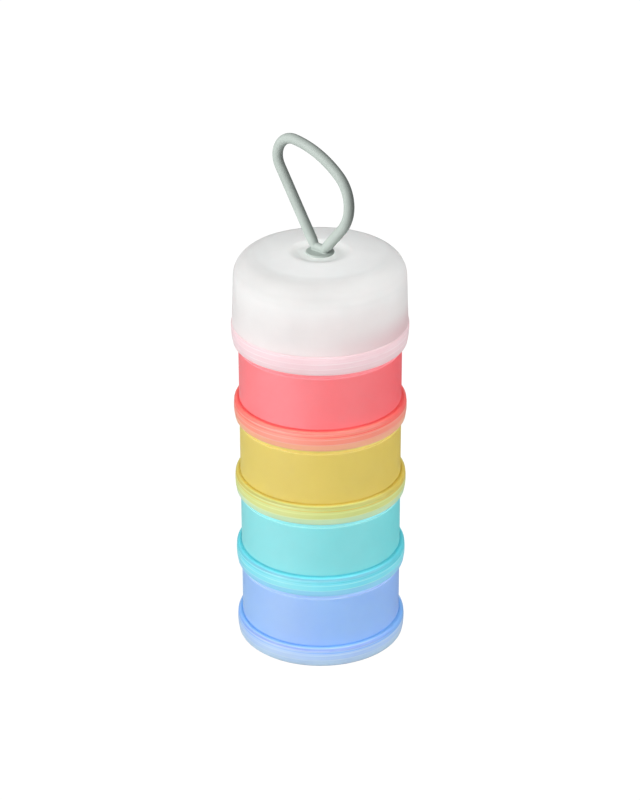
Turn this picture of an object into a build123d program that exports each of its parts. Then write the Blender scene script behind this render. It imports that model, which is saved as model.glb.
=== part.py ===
from build123d import *
import os
from math import cos, radians, sin

# Formula dispenser: four identical cups screwed on top of each other, a domed screw lid and a
# silicone carry loop that turns in the lid's top. Millimetres, +Z up. The origin is the centre of
# the bottom cup's foot, on the surface that the stack stands on.

# Driving dimensions
cup_pitch = 38.4                # height that one cup adds to the stack
wall_r = 38.0                   # outside of a cup's wall
bore_r = 36.2                   # inside of a cup, from the floor to the mouth
neck_r = 37.4                   # outside of the threaded mouth
skirt_edge_r = 40.0             # outside of a cup's skirt at its lower edge
skirt_bulge_r = 40.5            # widest part of a cup's skirt
skirt_top_r = 40.35             # where the skirt's rounded top starts
skirt_bore_r = 38.8             # inside of every skirt, which screws over a neck
lid_skirt_edge_r = 40.4
lid_skirt_bulge_r = 41.2
lid_skirt_top_r = 41.15
lid_foot_r = 40.75              # dome where it leaves the skirt
lid_crown_r = 39.9              # dome where its top corner starts
lid_height = 44.3               # lid alone, without the dimple
loop_cord_r = 2.45              # radius of the loop's round cord

# Cup
shoulder_z = 35.8               # ledge at the top of the wall, seen just under the next skirt
neck_top_z = cup_pitch + 7.55
skirt_top_z = 9.75              # where the skirt meets the wall
skirt_corner_r = 1.9
pocket_z = 8.9                  # depth of the pocket under the floor
floor_z = 10.4                  # top of the floor
floor_corner_r = 3.0
edge_chamfer = 0.3
edge_fillet = 0.4
shoulder_fillet = 0.45
rim_fillet = 0.4

# Screw thread: one start, right-handed, trapezoid flanks, half a pitch between male and female
thread_pitch = 2.6
thread_bite = 0.3               # how deep a thread's root runs into its wall
root_width = 1.5
crest_width = 0.7
male_crest_r = 38.45
female_crest_r = 37.75
male_start_z = cup_pitch + 1.4
male_turns = 2.0
female_start_z = 1.4 + thread_pitch / 2
female_turns = 1.65

# Sealing ring, and the lip under each floor that holds it
seal_clearance = 0.15
lip_outer_r = 35.35
lip_inner_r = 34.35
lip_depth = 2.0
seal_inner_r = lip_outer_r + seal_clearance
seal_outer_r = neck_r
seal_bottom_z = neck_top_z - cup_pitch + seal_clearance
seal_top_z = pocket_z - seal_clearance

# Lid
lid_z = 4 * cup_pitch
lid_skirt_top_z = 9.5
lid_corner_r = 10.9
lid_crown_rise = 1.5
lid_wall = 1.6
lid_bead_r = 36.2               # inner bead that presses the sealing ring on the neck
lid_bead_land = 1.3
lid_bead_slope_z = 13.4         # where the bead's sloping top meets the dome
crown_bow = 0.1                 # how far the crown stands above a straight cone
dimple_r = 13.5
dimple_floor_r = 9.0
dimple_floor_z = 42.8
hole_r = 3.0

# Carry loop
seat_z = lid_z + dimple_floor_z
swivel_gap = 0.1
waist_r = hole_r - 0.06
collar_r = 6.65
collar_thickness = 1.3
anchor_r = 8.5
anchor_thickness = 1.7
tail_r = 4.2
tail_tip_r = 2.6
tail_length = 3.6
loop_root_r = loop_cord_r + 0.1 # rounded root that both legs grow from
root_half_length = 3.0
loop_base_z = seat_z + 2.7
right_leg_spread = 39.4         # degrees between the leg and the loop's own axis
left_leg_spread = 34.7
right_leg_length = 15.1
side_arc_r = 17.6
side_arc_angle = 91.7
top_arc_r = 51.6
top_arc_angle = 32.7
loop_lean_back = 2.8            # degrees from upright
loop_yaw = -42.0

os.makedirs("parts", exist_ok=True)


def save(piece, name):
    """Label one finished piece and write it as its own node."""
    piece.label = name
    export_step(piece, "parts/" + name + ".step")


def helical_ridge(foot_r, crest_r, start_z, turns):
    """A right-hand thread ridge from foot_r to crest_r, which may lie inside or outside it."""
    with BuildPart() as ridge:
        with BuildLine(Plane.XY.offset(start_z)) as run:
            Helix(thread_pitch, thread_pitch * turns, foot_r)
        with BuildSketch(Plane(run.line @ 0, x_dir=(1, 0, 0), z_dir=run.line % 0)):
            with BuildLine():
                Polyline(
                    (0, -root_width / 2),
                    (crest_r - foot_r, -crest_width / 2),
                    (crest_r - foot_r, crest_width / 2),
                    (0, root_width / 2),
                    close=True,
                )
            make_face()
        sweep(is_frenet=True)
    return ridge.part


male_ridge = helical_ridge(neck_r - thread_bite, male_crest_r, male_start_z, male_turns)
female_ridge = helical_ridge(
    skirt_bore_r + thread_bite, female_crest_r, female_start_z, female_turns
)

# One cup, standing on the origin
with BuildPart() as cup:
    with BuildSketch(Plane.XZ):
        with BuildLine():
            skirt_foot = Polyline(
                (0, pocket_z),
                (lip_inner_r, pocket_z),
                (lip_inner_r, pocket_z - lip_depth),
                (lip_outer_r, pocket_z - lip_depth),
                (lip_outer_r, pocket_z),
                (skirt_bore_r, pocket_z),
                (skirt_bore_r, edge_chamfer),
                (skirt_bore_r + edge_chamfer, 0),
                (skirt_edge_r - edge_fillet, 0),
            )
            foot_round = RadiusArc(
                skirt_foot @ 1, (skirt_edge_r, edge_fillet), -edge_fillet
            )
            bulge = ThreePointArc(
                foot_round @ 1,
                (skirt_bulge_r, skirt_top_z / 2),
                (skirt_top_r, skirt_top_z - skirt_corner_r),
            )
            corner = TangentArc(
                bulge @ 1,
                (skirt_top_r - skirt_corner_r, skirt_top_z),
                tangent=(0, 1),
            )
            wall = Polyline(
                corner @ 1, (wall_r, skirt_top_z), (wall_r, shoulder_z - shoulder_fillet)
            )
            ledge = RadiusArc(
                wall @ 1, (wall_r - shoulder_fillet, shoulder_z), -shoulder_fillet
            )
            neck = Polyline(
                ledge @ 1, (neck_r, shoulder_z), (neck_r, neck_top_z - rim_fillet)
            )
            rim_outside = RadiusArc(
                neck @ 1, (neck_r - rim_fillet, neck_top_z), -rim_fillet
            )
            rim = Line(rim_outside @ 1, (bore_r + rim_fillet, neck_top_z))
            rim_inside = RadiusArc(
                rim @ 1, (bore_r, neck_top_z - rim_fillet), -rim_fillet
            )
            inside = Line(rim_inside @ 1, (bore_r, floor_z + floor_corner_r))
            floor_round = RadiusArc(
                inside @ 1, (bore_r - floor_corner_r, floor_z), floor_corner_r
            )
            Polyline(floor_round @ 1, (0, floor_z), (0, pocket_z))
        make_face()
    revolve(axis=Axis.Z)
    add(male_ridge)
    add(female_ridge)

cup_names = ["bottom_cup", "second_cup", "third_cup", "top_cup"]
for level, name in enumerate(cup_names):
    save(cup.part.moved(Location((0, 0, level * cup_pitch))), name)

# Sealing rings: one under each cup's floor but the bottom one's, and one in the lid
with BuildPart() as seal:
    with BuildSketch(Plane.XY.offset(seal_bottom_z)):
        Circle(seal_outer_r)
        Circle(seal_inner_r, mode=Mode.SUBTRACT)
    extrude(amount=seal_top_z - seal_bottom_z)
    chamfer(seal.edges(), edge_fillet / 2)

seal_names = ["second_cup_seal", "third_cup_seal", "top_cup_seal", "lid_seal"]
for level, name in enumerate(seal_names, start=1):
    save(seal.part.moved(Location((0, 0, level * cup_pitch))), name)

# Lid: skirt and dome in one shell, with a shallow dimple and a hole in the middle of its top
crown_z = lid_height - lid_crown_rise
corner_z = crown_z - lid_corner_r
crown_r = lid_crown_r - lid_corner_r
dimple_edge_z = lid_height - lid_crown_rise * (dimple_r / crown_r) ** 2
inner_corner_r = lid_corner_r - lid_wall

with BuildPart() as lid:
    with BuildSketch(Plane.XZ.shift_origin((0, 0, lid_z))):
        with BuildLine():
            lid_foot = Polyline(
                (lid_bead_r, pocket_z + lid_bead_land),
                (lid_bead_r, pocket_z),
                (skirt_bore_r, pocket_z),
                (skirt_bore_r, edge_chamfer),
                (skirt_bore_r + edge_chamfer, 0),
                (lid_skirt_edge_r - edge_fillet, 0),
            )
            lid_foot_round = RadiusArc(
                lid_foot @ 1, (lid_skirt_edge_r, edge_fillet), -edge_fillet
            )
            lid_bulge = ThreePointArc(
                lid_foot_round @ 1,
                (lid_skirt_bulge_r, 0.6 * lid_skirt_top_z),
                (lid_skirt_top_r, lid_skirt_top_z - edge_chamfer),
            )
            dome_side = Polyline(
                lid_bulge @ 1, (lid_foot_r, lid_skirt_top_z), (lid_crown_r, corner_z)
            )
            dome_corner = TangentArc(
                dome_side @ 1, (crown_r, crown_z), tangent=(0, 1)
            )
            crown = ThreePointArc(
                dome_corner @ 1,
                ((crown_r + dimple_r) / 2, (crown_z + dimple_edge_z) / 2 + crown_bow),
                (dimple_r, dimple_edge_z),
            )
            dimple = Spline(
                crown @ 1,
                (dimple_floor_r, dimple_floor_z),
                tangents=[(-1, -0.1), (-1, 0)],
            )
            top = Polyline(
                dimple @ 1,
                (hole_r, dimple_floor_z),
                (hole_r, dimple_floor_z - lid_wall),
                (dimple_floor_r, dimple_floor_z - lid_wall),
            )
            ceiling = Line(top @ 1, (crown_r, crown_z - lid_wall))
            inner_corner = TangentArc(
                ceiling @ 1,
                (crown_r + inner_corner_r, corner_z),
                tangent=(1, 0),
            )
            Polyline(
                inner_corner @ 1,
                (lid_foot_r - lid_wall, lid_bead_slope_z),
                lid_foot @ 0,
            )
        make_face()
    revolve(axis=Axis.Z)
    add(female_ridge.moved(Location((0, 0, lid_z))))

save(lid.part, "lid")

# Carry loop: collar, waist and anchor turn in the lid's hole. Its closed cord leans, and runs up
# the right leg, over three arcs that bend ever to the left, and down the left leg
def arc_step(radius, start, end):
    """Way from an arc's start to its end, as its heading from the loop's axis turns in degrees."""
    start, end = radians(start), radians(end)
    return Vector(cos(end) - cos(start), sin(start) - sin(end)) * radius


across = Vector(1, 0, 0).rotate(Axis.Z, loop_yaw)
loop_up = Vector(0, 0, 1).rotate(Axis((0, 0, 0), across), -loop_lean_back)
loop_plane = Plane((0, 0, loop_base_z), x_dir=across, z_dir=across.cross(loop_up))
leg_way = Vector(sin(radians(right_leg_spread)), cos(radians(right_leg_spread)))
top_heading = right_leg_spread - side_arc_angle
corner_heading = top_heading - top_arc_angle
left_leg_heading = -180 - left_leg_spread
corner_from = (
    Vector(root_half_length, 0)
    + leg_way * right_leg_length
    + arc_step(side_arc_r, right_leg_spread, top_heading)
    + arc_step(top_arc_r, top_heading, corner_heading)
)
left_leg_side = Vector(-cos(radians(left_leg_heading)), sin(radians(left_leg_heading)))
corner_angle = corner_heading - left_leg_heading
corner_arc_r = (corner_from + Vector(root_half_length, 0)).dot(left_leg_side) / (
    1 - cos(radians(corner_angle))
)
underside_z = seat_z - lid_wall

with BuildPart() as carry_loop:
    with BuildSketch(Plane.XZ):
        with BuildLine():
            Polyline(
                (0, underside_z - swivel_gap - anchor_thickness - tail_length),
                (tail_tip_r, underside_z - swivel_gap - anchor_thickness - tail_length),
                (tail_r, underside_z - swivel_gap - anchor_thickness),
                (anchor_r, underside_z - swivel_gap - anchor_thickness),
                (anchor_r, underside_z - swivel_gap),
                (waist_r, underside_z - swivel_gap),
                (waist_r, seat_z + swivel_gap),
                (collar_r, seat_z + swivel_gap),
                (collar_r, seat_z + swivel_gap + collar_thickness),
                (0, seat_z + swivel_gap + collar_thickness),
                close=True,
            )
        make_face()
    revolve(axis=Axis.Z)
    disc_edges = carry_loop.edges().filter_by(GeomType.CIRCLE)
    fillet(disc_edges.filter_by(lambda edge: edge.radius > tail_r + 1), edge_fillet)
    with BuildSketch(loop_plane):
        with BuildLine():
            root_end = Line((-root_half_length - loop_root_r, 0), (root_half_length + loop_root_r, 0))
            right_end = RadiusArc(root_end @ 1, (root_half_length, loop_root_r), -loop_root_r)
            root_top = Line(right_end @ 1, (-root_half_length, loop_root_r))
            RadiusArc(root_top @ 1, root_end @ 0, -loop_root_r)
        make_face()
    revolve(axis=Axis(loop_plane.origin, loop_plane.x_dir))
    with BuildLine(loop_plane) as cord:
        right_leg = PolarLine((root_half_length, 0), right_leg_length, 90 - right_leg_spread)
        side_arc = JernArc(right_leg @ 1, right_leg % 1, side_arc_r, side_arc_angle)
        top_arc = JernArc(side_arc @ 1, side_arc % 1, top_arc_r, top_arc_angle)
        corner_arc = JernArc(top_arc @ 1, top_arc % 1, corner_arc_r, corner_angle)
        Line(corner_arc @ 1, (-root_half_length, 0))
    with BuildSketch(Plane(cord.line @ 0, z_dir=cord.line % 0)):
        Circle(loop_cord_r)
    sweep(path=cord.line)

save(carry_loop.part, "carry_loop")
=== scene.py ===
from math import ceil, cos, pi, radians, sin, tan

import bmesh
import bpy
import numpy as np
from mathutils import Matrix, Vector


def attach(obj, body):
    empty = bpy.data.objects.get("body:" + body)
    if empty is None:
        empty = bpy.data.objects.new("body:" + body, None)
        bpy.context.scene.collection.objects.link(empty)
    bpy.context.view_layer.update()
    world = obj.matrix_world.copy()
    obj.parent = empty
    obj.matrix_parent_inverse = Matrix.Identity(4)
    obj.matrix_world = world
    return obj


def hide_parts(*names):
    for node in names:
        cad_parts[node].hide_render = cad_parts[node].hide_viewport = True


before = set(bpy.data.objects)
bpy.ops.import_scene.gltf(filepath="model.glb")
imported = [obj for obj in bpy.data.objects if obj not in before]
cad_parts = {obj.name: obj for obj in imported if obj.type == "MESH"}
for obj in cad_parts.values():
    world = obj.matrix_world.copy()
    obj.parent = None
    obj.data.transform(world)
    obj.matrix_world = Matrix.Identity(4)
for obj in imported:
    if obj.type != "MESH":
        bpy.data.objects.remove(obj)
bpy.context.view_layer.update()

# Formula dispenser: four cups screwed on each other, a domed lid and a silicone carry loop.
# Every visible piece is a finer mesh on the outline of the CAD part that it stands for. Outlines
# are in millimetres, as (radius, height) above the piece's own foot; Blender is in metres.
MM = 0.001
TURN = 2 * pi
AROUND = 256                    # faces round every turned piece
FINE_CORNER, CORNER, SOFT_CORNER = 0.2, 0.3, 0.4    # edge rounding

# Cup
CUP_PITCH = 38.4                # height that one cup adds to the stack
WALL_R, BORE_R, NECK_R = 38.0, 36.2, 37.4
SKIRT_BORE_R, SKIRT_EDGE_R, SKIRT_TOP_R = 38.8, 40.0, 40.35
SKIRT_TOP, SKIRT_CORNER, SKIRT_BOW = 9.75, 1.9, 0.32
POCKET, FLOOR, FLOOR_CORNER = 8.9, 10.4, 3.0
SHOULDER, NECK_TOP = 35.8, 45.95
LIP_OUTER_R, LIP_INNER_R, LIP_DEPTH = 35.35, 34.35, 2.0

# Screw threads, and the shallow sink marks that they leave in a skirt's outer face
THREAD_PITCH = 2.6
THREAD_FOOT, THREAD_CREST, THREAD_DEPTH = 0.75, 0.35, 1.05
NECK_THREAD_FROM, NECK_THREAD_TURNS = CUP_PITCH + 1.4, 2.0
SKIRT_THREAD_FROM, SKIRT_THREAD_TURNS = 2.7, 1.65
THREAD_RUNOUT = 0.3             # radians that a thread takes to rise at each end
THREAD_STEP = 0.14              # length of an outline's runs where there is thread
SKIRT_THREAD_LOW, SKIRT_THREAD_HIGH = 1.5, 8.2
SINK_DEPTH, SINK_LOW, SINK_HIGH, SINK_FADE = 0.05, 0.8, 8.4, 1.2
ON_FACE = 0.2                   # how near to a face's radius a point on it is

# Sealing ring
SEAL_INNER_R, SEAL_OUTER_R, SEAL_FROM, SEAL_TO = 35.5, 37.4, 7.7, 8.75

# Lid
LID_BASE = 4 * CUP_PITCH
LID_EDGE_R, LID_SKIRT_R, LID_SKIRT_TOP, LID_SKIRT_BOW = 40.4, 41.15, 9.5, 0.32
DOME_FOOT_R, DOME_R, DOME_CORNER_FROM, DOME_CORNER = 40.75, 39.9, 31.9, 10.9
DOME_WALL = 1.6
CROWN_TOP, CROWN_RISE, CROWN_R = 44.3, 1.5, 29.0
DIMPLE_R, DIMPLE_FLOOR_R, DIMPLE_FLOOR = 14.8, 9.0, 42.8
HOLE_R, BEAD_R, BEAD_TOP, BEAD_SLOPE_TOP = 3.0, 36.2, 10.2, 13.4

# Carry loop: right leg, side arc, top arc, a corner arc that closes it, and left leg
SEAT = LID_BASE + DIMPLE_FLOOR
LOOP_BASE = SEAT + 2.7
COLLAR_R, COLLAR_TOP, SWIVEL_GAP, WAIST_R = 6.65, SEAT + 1.15, 0.1, 2.8
ANCHOR_R, ANCHOR_DEPTH, TAIL_R, TAIL_TIP_R, TAIL_DEPTH = 8.5, 1.8, 4.2, 2.6, 5.4
CORD_R, ROOT_R, ROOT_HALF = 2.45, 1.9, 3.0
CORD_END_PINCH, PINCH_RUN = 0.15, 3.5           # how much the cord's ends narrow, over what length
CORD_SIDES, CORD_CAP_STEPS, CORD_STEP = 32, 8, 0.8
LOOP_VOXEL = 0.22               # grid that the loop's parts are melted together on
RIGHT_SPREAD, LEFT_SPREAD, RIGHT_LEG = radians(39.4), radians(34.7), 15.1
SIDE_R, SIDE_TURN, TOP_R, TOP_TURN = 17.6, radians(91.7), 51.6, radians(32.7)
LOOP_LEAN_BACK, LOOP_YAW = radians(2.8), radians(-42.0)


# ------------------------------------------------------------------- outlines
def ease(x):
    """0 below 0, 1 above 1 and a smooth step between."""
    x = np.clip(x, 0.0, 1.0)
    return x * x * (3 - 2 * x)


def arc(centre, radius, start, end, steps):
    """Points on a circle in the outline's plane, from one angle to another in degrees."""
    angles = np.radians(np.linspace(start, end, steps + 1))
    return [(centre[0] + radius * cos(a), centre[1] + radius * sin(a)) for a in angles]


def bowed(start, end, bow, steps):
    """Points from start to end, bulging by bow to the right of the way there."""
    a, b = np.array(start), np.array(end)
    side = np.array((b[1] - a[1], a[0] - b[0])) / np.hypot(*(b - a))
    run = np.linspace(0, 1, steps + 1)
    return [tuple(a + (b - a) * t + side * bow * 4 * t * (1 - t)) for t in run]


def rounded(points, closed):
    """The outline with an arc at every corner that is given a radius as its third number."""
    out = []
    for n, point in enumerate(points):
        here = np.array(point[:2], float)
        if len(point) == 2 or (not closed and n in (0, len(points) - 1)):
            out.append(here)
            continue
        back = np.array(points[n - 1][:2]) - here
        ahead = np.array(points[(n + 1) % len(points)][:2]) - here
        back_run, ahead_run = np.hypot(*back), np.hypot(*ahead)
        back, ahead = back / back_run, ahead / ahead_run
        half = np.arccos(np.clip(back @ ahead, -1, 1)) / 2
        reach = min(point[2] / tan(half), 0.48 * back_run, 0.48 * ahead_run)
        swing = pi - 2 * half
        middle = here + (back + ahead) * reach / (1 + back @ ahead)
        start, end = here + back * reach - middle, here + ahead * reach - middle
        steps = max(2, ceil(swing / radians(15)))
        for t in np.linspace(0, 1, steps + 1):
            out.append(middle + (start * sin((1 - t) * swing) + end * sin(t * swing)) / sin(swing))
    return np.array(out)


def divided(outline, step, low, high, closed):
    """The outline with its runs between two heights cut into steps of that length."""
    out = []
    ends = np.roll(outline, -1, 0) if closed else outline[1:]
    for a, b in zip(outline, ends):
        inside = min(a[1], b[1]) < high and max(a[1], b[1]) > low and abs(b[1] - a[1]) > step
        cuts = ceil(np.hypot(*(b - a)) / step) if inside else 1
        out += [a + (b - a) * n / cuts for n in range(cuts)]
    if not closed:
        out.append(outline[-1])
    return np.array(out)


def ridge(height, angle, start, turns):
    """How far one thread stands up, from 0 to 1, at that height and angle."""
    rise = np.zeros(np.broadcast(height, angle).shape)
    for n in range(ceil(turns)):
        run = angle + n * TURN
        away = np.abs(height - start - THREAD_PITCH * run / TURN)
        flank = ease((THREAD_FOOT - away) / (THREAD_FOOT - THREAD_CREST))
        runout = ease(run / THREAD_RUNOUT) * ease((turns * TURN - run) / THREAD_RUNOUT)
        rise = np.maximum(rise, flank * runout)
    return rise


def threaded(r, height, angle):
    """The radius with the thread on the neck, the thread in the skirt and the sink marks."""
    neck = (np.abs(r - NECK_R) < ON_FACE) & (height > SHOULDER + 1)
    bore = (np.abs(r - SKIRT_BORE_R) < ON_FACE) & (height < POCKET)
    face = (r > SKIRT_EDGE_R - 0.3) & (height < SKIRT_TOP)
    r = r + neck * THREAD_DEPTH * ridge(height, angle, NECK_THREAD_FROM, NECK_THREAD_TURNS)
    r = r - bore * THREAD_DEPTH * ridge(height, angle, SKIRT_THREAD_FROM, SKIRT_THREAD_TURNS)
    wave = 0.5 + 0.5 * np.cos(TURN * (height - SKIRT_THREAD_FROM) / THREAD_PITCH - angle)
    band = ease((height - SINK_LOW) / SINK_FADE) * ease((SINK_HIGH - height) / SINK_FADE)
    return r - face * SINK_DEPTH * wave**4 * band


# --------------------------------------------------------------------- meshes
def add_object(name, vertices, faces):
    """A smooth-shaded mesh object, welded where its rows meet on the axis, faces outward."""
    mesh = bpy.data.meshes.new(name)
    mesh.from_pydata([tuple(v) for v in vertices], [], [tuple(f) for f in faces])
    work = bmesh.new()
    work.from_mesh(mesh)
    bmesh.ops.remove_doubles(work, verts=work.verts, dist=1e-7)
    bmesh.ops.recalc_face_normals(work, faces=work.faces)
    work.to_mesh(mesh)
    work.free()
    mesh.polygons.foreach_set("use_smooth", [True] * len(mesh.polygons))
    made = bpy.data.objects.new(name, mesh)
    bpy.context.scene.collection.objects.link(made)
    return made


def turned(name, outline, base, closed=False, reshape=None):
    """An outline turned about Z and lifted to base. reshape(r, height, angle) may move r."""
    angle = np.linspace(0, TURN, AROUND, endpoint=False)[None, :]
    r = np.repeat(outline[:, :1], AROUND, 1)
    height = np.repeat(outline[:, 1:], AROUND, 1)
    if reshape:
        r = reshape(r, height, angle)
    grid = np.stack([r * np.cos(angle), r * np.sin(angle), height + base], -1) * MM
    number = np.arange(r.size).reshape(r.shape)
    lower = number if closed else number[:-1]
    upper = np.roll(number, -1, 0) if closed else number[1:]
    quads = np.stack([lower, np.roll(lower, -1, 1), np.roll(upper, -1, 1), upper], -1)
    made = add_object(name, grid.reshape(-1, 3), quads.reshape(-1, 4))
    made.modifiers.new("even_shading", "WEIGHTED_NORMAL").keep_sharp = True
    return made


def tube(name, route, radius, pinch=0.0):
    """A round tube along a route of points, with round ends that narrow by the share pinch."""
    route = np.array(route)
    first, last = route[1] - route[0], route[-1] - route[-2]
    first, last = first / np.linalg.norm(first), last / np.linalg.norm(last)
    run = np.r_[0, np.cumsum(np.linalg.norm(np.diff(route, axis=0), axis=1))]
    from_end = np.minimum(run, run[-1] - run)
    ring_r = radius * (1 - pinch * (1 - ease(from_end / PINCH_RUN)))
    rings = list(zip(route, ring_r))
    end_r = radius * (1 - pinch)
    for n in range(1, CORD_CAP_STEPS):
        lean = pi / 2 * n / CORD_CAP_STEPS
        rings.insert(0, (route[0] - first * end_r * sin(lean), end_r * cos(lean)))
        rings.append((route[-1] + last * end_r * sin(lean), end_r * cos(lean)))
    centres = np.array([c for c, _ in rings])
    heading = np.gradient(centres, axis=0)
    heading /= np.linalg.norm(heading, axis=1, keepdims=True)
    plane_normal = np.cross(first, route[len(route) // 2] - route[0])
    if np.linalg.norm(plane_normal) < 1e-6:     # a straight route lies in no plane of its own
        plane_normal = np.cross(first, (0, 0, 1.0))
    plane_normal /= np.linalg.norm(plane_normal)
    side = np.cross(heading, plane_normal)
    spin = np.linspace(0, TURN, CORD_SIDES, endpoint=False)
    vertices = [
        c + ring * (s * np.cos(a) + plane_normal * np.sin(a))
        for (c, ring), s in zip(rings, side)
        for a in spin
    ]
    number = np.arange(len(vertices)).reshape(-1, CORD_SIDES)
    quads = np.stack(
        [number[:-1], np.roll(number[:-1], -1, 1), np.roll(number[1:], -1, 1), number[1:]], -1
    )
    faces = [tuple(q) for q in quads.reshape(-1, 4)]
    faces += [tuple(number[0]), tuple(number[-1])]
    return add_object(name, np.array(vertices) * MM, faces)


# --------------------------------------------------------------------- pieces
def cup_outline():
    points = [
        (0, POCKET),
        (LIP_INNER_R, POCKET, FINE_CORNER),
        (LIP_INNER_R, POCKET - LIP_DEPTH, CORNER),
        (LIP_OUTER_R, POCKET - LIP_DEPTH, CORNER),
        (LIP_OUTER_R, POCKET, FINE_CORNER),
        (SKIRT_BORE_R, POCKET, SOFT_CORNER),
        (SKIRT_BORE_R, 0.0, CORNER),
        *arc((SKIRT_EDGE_R - SOFT_CORNER, SOFT_CORNER), SOFT_CORNER, -90, 0, 5),
        *bowed((SKIRT_EDGE_R, 0.5), (SKIRT_TOP_R, SKIRT_TOP - SKIRT_CORNER), SKIRT_BOW, 24),
        *arc((SKIRT_TOP_R - SKIRT_CORNER, SKIRT_TOP - SKIRT_CORNER), SKIRT_CORNER, 8, 90, 12),
        (WALL_R, SKIRT_TOP, 0.25),
        (WALL_R, SHOULDER, 0.45),
        (NECK_R, SHOULDER, 0.12),
        (NECK_R, NECK_TOP, SOFT_CORNER),
        (BORE_R, NECK_TOP, SOFT_CORNER),
        (BORE_R, FLOOR, FLOOR_CORNER),
        (0, FLOOR),
    ]
    outline = rounded(points, closed=False)
    neck_from, neck_to = NECK_THREAD_FROM - 0.9, NECK_TOP - SOFT_CORNER
    outline = divided(outline, THREAD_STEP, neck_from, neck_to, closed=False)
    return divided(outline, THREAD_STEP, SKIRT_THREAD_LOW, SKIRT_THREAD_HIGH, closed=False)


def lid_outline():
    crown = []
    for r in np.linspace(CROWN_R, DIMPLE_FLOOR_R - 0.5, 40):
        height = CROWN_TOP - CROWN_RISE * (r / CROWN_R) ** 2
        share = ease((r - DIMPLE_FLOOR_R) / (DIMPLE_R - DIMPLE_FLOOR_R))
        crown.append((r, DIMPLE_FLOOR + (height - DIMPLE_FLOOR) * share))
    points = [
        (BEAD_R, BEAD_TOP, FINE_CORNER),
        (BEAD_R, POCKET, CORNER),
        (SKIRT_BORE_R, POCKET, SOFT_CORNER),
        (SKIRT_BORE_R, 0.0, CORNER),
        *arc((LID_EDGE_R - SOFT_CORNER, SOFT_CORNER), SOFT_CORNER, -90, 0, 5),
        *bowed((LID_EDGE_R, 0.5), (LID_SKIRT_R, LID_SKIRT_TOP - 0.3), LID_SKIRT_BOW, 24),
        (DOME_FOOT_R, LID_SKIRT_TOP, 0.1),
        *bowed((DOME_FOOT_R - 0.05, LID_SKIRT_TOP + 1.5), (DOME_R, DOME_CORNER_FROM), 0.0, 8),
        *arc((CROWN_R, DOME_CORNER_FROM), DOME_CORNER, 5, 84, 18),
        *crown[1:],
        (HOLE_R, DIMPLE_FLOOR, 0.25),
        (HOLE_R, DIMPLE_FLOOR - DOME_WALL, 0.25),
        *arc((CROWN_R, DOME_CORNER_FROM), DOME_CORNER - DOME_WALL, 90, 0, 14),
        (DOME_FOOT_R - DOME_WALL, BEAD_SLOPE_TOP, 0.5),
    ]
    outline = rounded(points, closed=True)
    return divided(outline, THREAD_STEP, SKIRT_THREAD_LOW, SKIRT_THREAD_HIGH, closed=True)


def seal_outline():
    points = [
        (SEAL_INNER_R, SEAL_FROM, CORNER),
        (SEAL_OUTER_R, SEAL_FROM, CORNER),
        (SEAL_OUTER_R, SEAL_TO, CORNER),
        (SEAL_INNER_R, SEAL_TO, CORNER),
    ]
    return rounded(points, closed=True)


def loop_axes():
    """The carry loop's own directions: across it, and up along its lean."""
    facing = np.array(Matrix.Rotation(LOOP_YAW, 3, "Z"))
    return facing[:, 0], facing[:, 1] * sin(LOOP_LEAN_BACK) + (0, 0, cos(LOOP_LEAN_BACK))


def loop_route():
    """The cord's centre line from the root's right end round to its left end."""
    across, up = loop_axes()
    left_end = np.array((-ROOT_HALF, 0.0))
    here, heading = np.array((ROOT_HALF, 0.0)), RIGHT_SPREAD    # heading is measured from up
    points = [here]

    def walk(length, turn):
        nonlocal here, heading
        cuts = ceil(length / CORD_STEP)
        for _ in range(cuts):
            middle = heading - turn / cuts / 2
            here = here + length / cuts * np.array((sin(middle), cos(middle)))
            heading -= turn / cuts
            points.append(here)

    walk(RIGHT_LEG, 0.0)
    walk(SIDE_R * SIDE_TURN, SIDE_TURN)
    walk(TOP_R * TOP_TURN, TOP_TURN)
    last = -pi - LEFT_SPREAD
    corner = heading - last
    off_last_leg = (here - left_end) @ (-cos(last), sin(last))
    corner_r = off_last_leg / (1 - cos(corner))
    walk(corner_r * corner, corner)
    walk(np.hypot(*(here - left_end)), 0.0)
    base = np.array((0.0, 0.0, LOOP_BASE))
    return [base + across * x + up * y for x, y in points]


def loop_foot_outline():
    """Tail, anchor disc, waist in the lid's hole and collar, as heights in the whole stack."""
    under = SEAT - DOME_WALL
    points = [
        (0, under - TAIL_DEPTH),
        (TAIL_TIP_R, under - TAIL_DEPTH, 0.6),
        (TAIL_R, under - ANCHOR_DEPTH, FINE_CORNER),
        (ANCHOR_R, under - ANCHOR_DEPTH, 0.5),
        (ANCHOR_R, under - SWIVEL_GAP, 0.5),
        (WAIST_R, under - SWIVEL_GAP, 0.1),
        (WAIST_R, SEAT + SWIVEL_GAP, 0.1),
        (COLLAR_R, SEAT + SWIVEL_GAP, SOFT_CORNER),
        (COLLAR_R, COLLAR_TOP, 0.45),
        (0, COLLAR_TOP),
    ]
    return rounded(points, closed=False)


def melted(name, parts):
    """The parts as one moulding, with the seams between them softened."""
    whole = bpy.data.meshes.new(name)
    work = bmesh.new()
    for part in parts:
        work.from_mesh(part.data)
    work.to_mesh(whole)
    work.free()
    for part in parts:
        bpy.data.objects.remove(part)
    made = bpy.data.objects.new(name, whole)
    bpy.context.scene.collection.objects.link(made)
    melt = made.modifiers.new("melt", "REMESH")
    melt.mode = "VOXEL"
    melt.voxel_size = LOOP_VOXEL * MM
    soften = made.modifiers.new("soften", "SMOOTH")
    soften.factor = 0.5
    soften.iterations = 3
    graph = bpy.context.evaluated_depsgraph_get()
    made.data = bpy.data.meshes.new_from_object(made.evaluated_get(graph))
    made.modifiers.clear()
    made.data.polygons.foreach_set("use_smooth", [True] * len(made.data.polygons))
    return made


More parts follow.
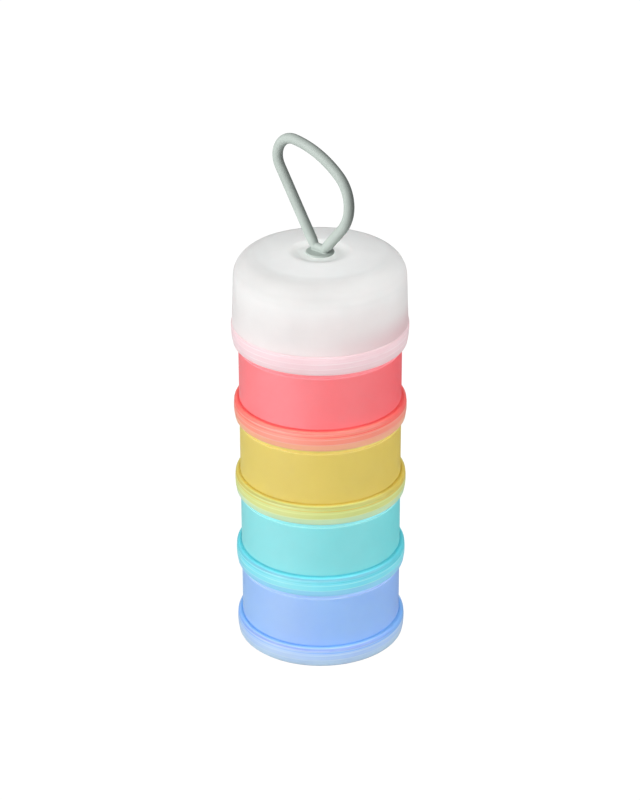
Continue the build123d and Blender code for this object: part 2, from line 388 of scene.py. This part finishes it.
def carry_loop():
    across, _ = loop_axes()
    base = np.array((0.0, 0.0, LOOP_BASE))
    root = [base - across * ROOT_HALF, base, base + across * ROOT_HALF]
    parts = [
        turned("loop_foot", loop_foot_outline(), 0.0),
        tube("loop_root", root, ROOT_R),
        tube("loop_cord", loop_route(), CORD_R, CORD_END_PINCH),
    ]
    return melted("carry_loop_moulding", parts)


# ------------------------------------------------------------------ materials
RAMP_SPAN = 50.0                # height in mm that a piece's colour ramp covers


def hue(code):
    """A colour written RRGGBB, as linear red, green, blue and full alpha."""
    shares = [int(code[n:n + 2], 16) / 255 for n in (0, 2, 4)]
    return [c / 12.92 if c < 0.04045 else ((c + 0.055) / 1.055) ** 2.4 for c in shares] + [1.0]


def node(tree, kind, inputs=None, **settings):
    """A shader node. An input is a value or another node's socket."""
    made = tree.nodes.new("ShaderNode" + kind)
    for key, value in settings.items():
        setattr(made, key, value)
    for key, value in (inputs or {}).items():
        if isinstance(value, bpy.types.NodeSocket):
            tree.links.new(value, made.inputs[key])
        else:
            made.inputs[key].default_value = value
    return made


def maths(tree, operation, *values):
    return node(tree, "Math", dict(enumerate(values)), operation=operation).outputs[0]


def spread(tree, value, low, high, to_low=0.0, to_high=1.0):
    """The value mapped by a smooth step from one range to another, held at the ends."""
    inputs = {"Value": value, "From Min": low, "From Max": high, "To Min": to_low, "To Max": to_high}
    return node(tree, "MapRange", inputs, interpolation_type="SMOOTHSTEP").outputs["Result"]


def mixed(tree, share, a, b, blend="MIX"):
    made = node(tree, "Mix", data_type="RGBA", blend_type=blend)
    for socket, value in ((made.inputs[0], share), (made.inputs[6], a), (made.inputs[7], b)):
        if isinstance(value, bpy.types.NodeSocket):
            tree.links.new(value, socket)
        else:
            socket.default_value = value
    return made.outputs[2]


def noise(tree, vector, scale, detail=2.0):
    inputs = {"Vector": vector, "Scale": scale, "Detail": detail, "Roughness": 0.5}
    return node(tree, "TexNoise", inputs).outputs[0]


def new_material(name):
    material = bpy.data.materials.new(name)
    material.use_nodes = True
    tree = material.node_tree
    shader = tree.nodes["Principled BSDF"]
    place = node(tree, "TexCoord").outputs["Object"]
    return material, tree, shader, place


def window(tree, value, rise, fall):
    """1 between two ranges that the value fades in and out over."""
    return maths(tree, "MULTIPLY", spread(tree, value, *rise), spread(tree, value, *fall[::-1]))


def height_ramp(tree, height, bands):
    """The colour at a height, from bands of (height, colour)."""
    ramp = node(tree, "ValToRGB", {"Fac": maths(tree, "DIVIDE", height, RAMP_SPAN)})
    stops = ramp.color_ramp.elements
    for number, (level, code) in enumerate(bands):
        stop = stops[number] if number < len(stops) else stops.new(1.0)
        stop.position = level / RAMP_SPAN
        stop.color = hue(code)
    return ramp.outputs["Color"]


def thread_marks(tree, place, height, facing):
    """How strongly a skirt's thread shows through it, from 0 to 1."""
    turns = maths(tree, "DIVIDE", facing, TURN)
    turns = maths(tree, "SUBTRACT", maths(tree, "DIVIDE", height, THREAD_PITCH), turns)
    away = maths(tree, "ABSOLUTE", maths(tree, "SUBTRACT", maths(tree, "FRACT", turns), 0.5))
    on_skirt = window(tree, height, (1.6, 2.4), (8.0, 8.8))
    mark = maths(tree, "MULTIPLY", spread(tree, away, 0.13, 0.0), on_skirt)
    patchy = spread(tree, noise(tree, place, 60.0), 0.3, 0.7, 0.4, 0.9)
    return maths(tree, "MULTIPLY", mark, patchy)


def cloudy(tree, place, colour, scale, detail, low, high):
    """The colour made a little lighter and darker in soft clouds."""
    cloud = spread(tree, noise(tree, place, scale, detail), 0.3, 0.7, low, high)
    shade = node(tree, "CombineColor", {0: cloud, 1: cloud, 2: cloud}).outputs[0]
    return mixed(tree, 1.0, colour, shade, "MULTIPLY")


def plastic(name, base, bands, line, scatter, patches=(), glow=None):
    """Frosted polypropylene that is coloured by height, where the piece beneath shows through.

    bands are (height in mm above base, colour); line is the colour of the thread marks. A patch is
    a colour, its share, four heights and four radii that it fades in and out between, and the
    angle it is centred on with its half width. glow is the colour, strength and four heights of a
    band that is made to glow: painted light that stands in for light coming through the wall.
    """
    material, tree, shader, place = new_material(name)
    axes = node(tree, "SeparateXYZ", {0: place}).outputs
    height = maths(tree, "MULTIPLY_ADD", axes["Z"], 1 / MM, -base)
    flat = node(tree, "CombineXYZ", {"X": axes["X"], "Y": axes["Y"]}).outputs[0]
    reach = node(tree, "VectorMath", {0: flat}, operation="LENGTH").outputs["Value"]
    reach = maths(tree, "MULTIPLY", reach, 1 / MM)
    facing = maths(tree, "ARCTAN2", axes["Y"], axes["X"])
    marks = thread_marks(tree, place, height, facing)
    colour = mixed(tree, marks, height_ramp(tree, height, bands), hue(line))
    for code, share, heights, radii, angles in patches:
        share = maths(tree, "MULTIPLY", window(tree, height, heights[:2], heights[2:]), share)
        if radii:
            share = maths(tree, "MULTIPLY", window(tree, reach, radii[:2], radii[2:]), share)
        if angles:
            off = maths(tree, "SUBTRACT", facing, radians(angles[0]))
            off = maths(tree, "ABSOLUTE", maths(tree, "WRAP", off, pi, -pi))
            share = maths(tree, "MULTIPLY", spread(tree, off, radians(angles[1]), 0.0), share)
        colour = mixed(tree, share, colour, hue(code))
    colour = cloudy(tree, place, colour, 45.0, 3.0, 0.98, 1.02)
    tree.links.new(colour, shader.inputs["Base Color"])
    sheen = noise(tree, place, 130.0, 3.0)
    tree.links.new(spread(tree, sheen, 0.3, 0.7, 0.44, 0.52), shader.inputs["Roughness"])
    grain = noise(tree, place, 2200.0, 2.0)
    bump = node(tree, "Bump", {"Strength": 0.12, "Distance": 0.02 * MM, "Height": grain})
    tree.links.new(bump.outputs[0], shader.inputs["Normal"])
    # glow is painted light: an emission band, though the plastic is no lamp
    if glow:
        code, strength, heights = glow
        lit = maths(tree, "MULTIPLY", window(tree, height, heights[:2], heights[2:]), strength)
        shader.inputs["Emission Color"].default_value = hue(code)
        tree.links.new(lit, shader.inputs["Emission Strength"])
    shader.inputs["Subsurface Weight"].default_value = 1.0
    shader.inputs["Subsurface Radius"].default_value = scatter
    shader.inputs["Subsurface Scale"].default_value = 1.0 * MM
    shader.inputs["IOR"].default_value = 1.49
    shader.inputs["Specular IOR Level"].default_value = 0.3
    return material


def silicone(name, code):
    """Matt moulded silicone rubber."""
    material, tree, shader, place = new_material(name)
    colour = cloudy(tree, place, hue(code), 90.0, 4.0, 0.95, 1.05)
    tree.links.new(colour, shader.inputs["Base Color"])
    dust = noise(tree, place, 350.0, 3.0)
    tree.links.new(spread(tree, dust, 0.3, 0.7, 0.5, 0.64), shader.inputs["Roughness"])
    grain = noise(tree, place, 900.0, 4.0)
    bump = node(tree, "Bump", {"Strength": 0.12, "Distance": 0.03 * MM, "Height": grain})
    tree.links.new(bump.outputs[0], shader.inputs["Normal"])
    shader.inputs["Subsurface Weight"].default_value = 0.1
    shader.inputs["Subsurface Radius"].default_value = (1.0, 1.0, 1.0)
    shader.inputs["Subsurface Scale"].default_value = 0.8 * MM
    shader.inputs["IOR"].default_value = 1.41
    return material


# -------------------------------------------------------------------- dressing
def dress(piece, node_name, material):
    piece.data.materials.append(material)
    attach(piece, node_name)
    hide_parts(node_name)


# Colours of each cup: low band, skirt, the skirt's rounded top (painted darker to tone down the
# highlight there), its shoulder, painted shade on the wall's right side, wall, painted light on the
# ledge and neck under the next skirt (also laid on as a painted glint), and thread marks
CUPS = {
    "bottom_cup": (
        "blue_plastic",
        "b8d2ff", "adc8f9", "889fdc", "76acfa", "8db0f6", "98bcf9", "a9c4f8", "cfdffd",
    ),
    "second_cup": (
        "turquoise_plastic",
        "94d6f8", "82dbec", "70b4c8", "59c6d4", "6ad2d8", "87d6da", "9ae0e4", "b4eff6",
    ),
    "third_cup": (
        "yellow_plastic",
        "c6e2b9", "cbd48a", "b0ae64", "d0b54e", "d3b957", "d6c268", "dcc874", "e6ebac",
    ),
    "top_cup": (
        "red_plastic",
        "ffae90", "fc9280", "d87c72", "f85858", "f4565e", "fd7d82", "fd949b", "fdb9ae",
    ),
}
CUP_SCATTER, LID_SCATTER = (3.0, 3.0, 3.0), (4.0, 3.6, 3.6)     # mm, for red, green and blue


def cup_material(slot, foot, low, skirt, corner, shoulder, shaded_right_side, wall, lit_ledge_and_glint, line):
    bands = [
        (0.0, low), (3.1, low), (3.5, skirt), (6.8, skirt), (7.2, shoulder), (7.6, skirt),
        (8.6, corner), (9.1, corner), (9.45, skirt), (9.7, shoulder), (10.0, shoulder),
        # painted shade: the skirt's rounded top is darker, toning down the highlight there
        (10.5, wall), (35.0, wall), (35.6, lit_ledge_and_glint),
    # painted light: from the ledge up, the neck is made lighter, lifting the next skirt's shadow and
    # standing for the ledge's highlight
    ]
    patches = (
        # painted shade: the shoulder colour spread over the upper skirt's right side; the next patch lays
        # it over the skirt's left edge
        (shoulder, 0.85, (6.7, 7.4, 9.8, 9.9), None, (-12.0, 58.0)),
        (shoulder, 0.6, (7.4, 8.2, 9.8, 9.9), None, (-172.0, 40.0)),
        # painted shade: the wall's right side darker and more saturated
        (shaded_right_side, 0.8, (9.9, 10.6, 35.0, 36.0), None, (2.0, 75.0)),
        # painted highlight: a lighter streak down the wall just left of the front
        (lit_ledge_and_glint, 0.6, (9.9, 10.6, 35.0, 36.0), None, (-118.0, 38.0)),
        # painted highlight: thread marks lighter just left of the front, where they catch the light
        (line, 0.35, (2.6, 3.4, 8.0, 9.0), None, (-116.0, 36.0)),
    )
    # painted light: the neck under the next skirt glows in the wall's colour, lifting the skirt's shadow
    # there
    glow = (wall, 0.35, (35.7, 36.0, 38.6, 39.2))
    return plastic(slot, foot, bands, line, CUP_SCATTER, patches, glow)


plastics = []
cup_shape = cup_outline()
for level, (name, (slot, *colours)) in enumerate(CUPS.items()):
    foot = level * CUP_PITCH
    piece = turned(name + "_moulding", cup_shape, foot, reshape=threaded)
    dress(piece, name, cup_material(slot, foot, *colours))
    plastics.append(piece)

lid_bands = [
    (0.0, "efd3d7"), (3.0, "f0d0d5"), (8.4, "f0d0d5"), (9.3, "e2c0c5"), (9.8, "e4dbdb"), (22.0, "e3dedd"),
    (30.0, "e9e6e5"), (36.0, "e8e6e5"), (43.0, "ededec"), (50.0, "ededec"),
]
lid_patches = (
    # painted light: a pink glow from the red cup inside, on the dome's lower front and right, and a
    # fainter pink over the front
    ("d2b0b5", 0.85, (9.5, 9.8, 11.0, 23.0), (30.0, 31.0, 50.0, 51.0), (-22.0, 85.0)),
    ("e6d0d1", 0.3, (9.5, 9.8, 24.0, 36.0), (30.0, 31.0, 50.0, 51.0), (-72.0, 80.0)),
    # painted shade: the dome's rounded corner darker, most at the front left, toning down the highlight
    # there
    ("cbcac9", 0.92, (31.0, 37.0, 60.0, 61.0), (27.0, 34.0, 50.0, 51.0), (-108.0, 140.0)),
    # painted shade round the loop's collar in the dimple, greenish where the loop's anchor shows through
    ("d6d9d6", 0.6, (38.0, 40.0, 60.0, 61.0), (-2.0, -1.0, 8.0, 17.0), None),
)
lid = turned("lid_moulding", lid_outline(), LID_BASE, closed=True, reshape=threaded)
frosted = plastic("frosted_plastic", LID_BASE, lid_bands, "f8e4e6", LID_SCATTER, lid_patches)
dress(lid, "lid", frosted)
plastics.append(lid)

seal_rubber = silicone("seal_silicone", "e9e9e6")
for level, name in enumerate(("second_cup", "third_cup", "top_cup", "lid"), start=1):
    piece = turned(name + "_seal_ring", seal_outline(), level * CUP_PITCH, closed=True)
    dress(piece, name + "_seal", seal_rubber)

loop = carry_loop()
dress(loop, "carry_loop", silicone("loop_silicone", "b8c2bc"))


# ----------------------------------------------------------- floor, light, camera
def add_floor():
    reach, grey, paper_strength = 6.0, 0.35, 1.05
    corners = [(-reach, -reach, 0), (reach, -reach, 0), (reach, reach, 0), (-reach, reach, 0)]
    floor = add_object("studio_floor", [Vector(c) for c in corners], [(0, 1, 2, 3)])
    material, tree, shader, _ = new_material("studio_white")
    shader.inputs["Base Color"].default_value = (grey, grey, grey, 1.0)
    shader.inputs["Roughness"].default_value = 0.9
    paper = node(tree, "Emission", {"Color": (1.0, 1.0, 1.0, 1.0), "Strength": paper_strength})
    seen = node(tree, "LightPath").outputs["Is Camera Ray"]
    both = node(tree, "MixShader", {0: seen, 1: shader.outputs[0], 2: paper.outputs[0]})
    tree.links.new(both.outputs[0], tree.nodes["Material Output"].inputs["Surface"])
    floor.data.materials.append(material)


def add_softbox(name, place, size, watts, only):
    """A square softbox aimed at the stack, which lights and is blocked by only some objects."""
    light = bpy.data.lights.new(name, "AREA")
    light.size = size
    light.energy = watts
    box = bpy.data.objects.new(name, light)
    box.location = place
    box.rotation_euler = (Vector((0, 0, 0.12)) - Vector(place)).to_track_quat("-Z", "Y").to_euler()
    bpy.context.scene.collection.objects.link(box)
    lit = bpy.data.collections.new(name + "_lights")
    for piece in only:
        lit.objects.link(piece)
    box.light_linking.receiver_collection = lit
    box.light_linking.blocker_collection = lit


def add_camera():
    """The camera looks down on the stack from the front, rolled by a hair."""
    elevation, distance, target, roll = radians(26.37), 1.1388, 0.1217, 0.0028
    data = bpy.data.cameras.new("camera")
    data.lens = 109.3
    data.sensor_width = 36.0
    data.clip_start, data.clip_end = 0.05, 50.0
    camera = bpy.data.objects.new("camera", data)
    place = Vector((-0.15 * MM, -distance * cos(elevation), target + distance * sin(elevation)))
    turn = Matrix.Rotation(pi / 2 - elevation, 4, "X") @ Matrix.Rotation(-roll, 4, "Z")
    camera.matrix_world = Matrix.Translation(place) @ turn
    bpy.context.scene.collection.objects.link(camera)
    bpy.context.scene.camera = camera


add_floor()
all_but_loop = [piece for piece in bpy.data.objects if piece.type == "MESH" and piece != loop]
add_softbox("key_softbox", (-1.2, -0.75, 0.85), 1.0, 25.0, all_but_loop)
add_softbox("loop_softbox", (-1.2, -0.75, 0.75), 1.0, 25.0, [loop])
add_softbox("fill_softbox", (1.3, -0.55, 0.65), 1.1, 17.0, plastics)
add_softbox("front_softbox", (0.2, -1.5, 0.9), 1.6, 11.0, plastics)
add_camera()
world = bpy.data.worlds.new("studio")
world.use_nodes = True
world.node_tree.nodes["Background"].inputs["Color"].default_value = (1.0, 1.0, 1.0, 1.0)
world.node_tree.nodes["Background"].inputs["Strength"].default_value = 0.25
bpy.context.scene.world = world
bpy.context.scene.view_settings.view_transform = "Standard"
